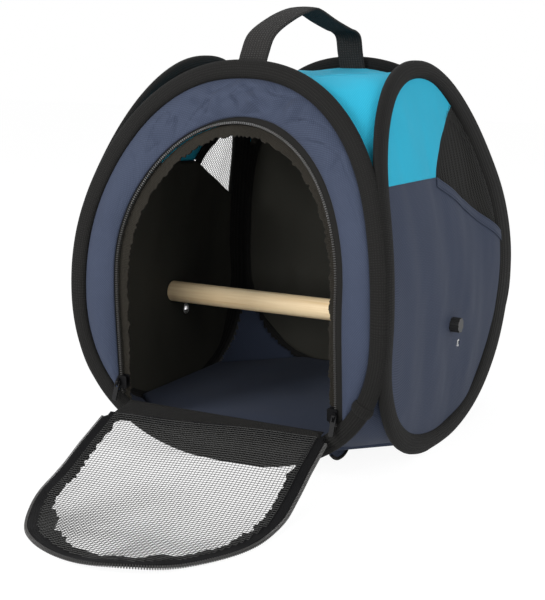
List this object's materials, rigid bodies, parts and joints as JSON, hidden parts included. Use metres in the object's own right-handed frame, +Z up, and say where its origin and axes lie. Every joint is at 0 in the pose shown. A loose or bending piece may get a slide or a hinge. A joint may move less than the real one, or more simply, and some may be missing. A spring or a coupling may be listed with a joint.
{
  "type": "bird travel carrier",
  "caption": "Pop-up fabric bird travel carrier with sprung hoop walls, net windows, a zipped net door, a wooden perch and a carry handle.",
  "frame": {"origin": "middle of the whole part's footprint with the door open, on the ground", "axes": "+Z up; -Y towards the doorway and the open door; +X to the right as seen from the front"},
  "size_m": [0.298, 0.5114, 0.3618],
  "materials": {
    "black_tape": "matt woven tape",
    "spring_steel": "plain spring steel",
    "black_lining": "matt, finely woven",
    "navy_cloth": "woven, slightly shiny",
    "turquoise_cloth": "woven, slightly shiny",
    "black_net": "open net",
    "board": "plain sheet",
    "zip_plastic": "moulded",
    "zip_metal": "dark with bright edges",
    "perch_wood": "bare turned wood",
    "screw_steel": "plated",
    "black_plastic": "moulded",
    "eyelet_metal": "plated",
    "webbing": "coarse ribbed webbing"
  },
  "bodies": {
    "cabin": {"front_hoop_tape": "black_tape", "right_hoop_tape": "black_tape", "back_hoop_tape": "black_tape", "left_hoop_tape": "black_tape", "front_hoop_wire": "spring_steel", "right_hoop_wire": "spring_steel", "back_hoop_wire": "spring_steel", "left_hoop_wire": "spring_steel", "front_lining": "black_lining", "right_lining": "black_lining", "back_lining": "black_lining", "left_lining": "black_lining", "front_panel": "navy_cloth", "back_panel": "navy_cloth", "right_lower_panel": "navy_cloth", "left_lower_panel": "navy_cloth", "right_upper_panel": "turquoise_cloth", "left_upper_panel": "turquoise_cloth", "right_window_net": "black_net", "left_window_net": "black_net", "top_panel": "turquoise_cloth", "bottom_panel": "navy_cloth", "base_board": "board", "floor_mat": "navy_cloth", "doorway_zip_tape": "black_tape", "doorway_zip_teeth": "zip_plastic", "door_hinge_tape": "black_tape", "perch": "perch_wood", "perch_screw_left": "screw_steel", "perch_screw_right": "screw_steel", "eyelets": "eyelet_metal", "handle_strap": "webbing"},
    "knob_left": {"perch_knob_left": "black_plastic"},
    "knob_right": {"perch_knob_right": "black_plastic"},
    "slider_left": {"zip_slider_left": "zip_metal"},
    "slider_right": {"zip_slider_right": "zip_metal"},
    "pull_left": {"zip_pull_left": "zip_metal"},
    "pull_right": {"zip_pull_right": "zip_metal"},
    "door": {"door_border": "black_tape", "door_net": "black_net", "door_zip_teeth": "zip_plastic"}
  },
  "joints": [
    {"name": "door_swing", "type": "hinge", "parent": "cabin", "child": "door", "pos_m": [0, -0.02602, 0.038], "axis": [-0.996, -0.0696, -0.0554], "range_deg": [0, 103.22]},
    {"name": "slider_left_slide", "type": "slide", "parent": "cabin", "child": "slider_left", "axis": [0, -0.0698, 0.9976], "range_m": [0, 0.055]},
    {"name": "pull_left_swing", "type": "hinge", "parent": "slider_left", "child": "pull_left", "pos_m": [-0.1004, -0.02851, 0.05414], "axis": [-1, 0, 0], "range_deg": [-4, 120]},
    {"name": "knob_left_turn", "type": "hinge", "parent": "cabin", "child": "knob_left", "pos_m": [-0.14498, 0.11113, 0.104], "axis": [1, 0, 0], "continuous": true},
    {"name": "slider_right_slide", "type": "slide", "parent": "cabin", "child": "slider_right", "axis": [0, -0.0698, 0.9976], "range_m": [0, 0.055]},
    {"name": "pull_right_swing", "type": "hinge", "parent": "slider_right", "child": "pull_right", "pos_m": [0.1004, -0.02851, 0.05414], "axis": [-1, 0, 0], "range_deg": [-4, 120]},
    {"name": "knob_right_turn", "type": "hinge", "parent": "cabin", "child": "knob_right", "pos_m": [0.14498, 0.11113, 0.104], "axis": [1, 0, 0], "continuous": true}
  ]
}
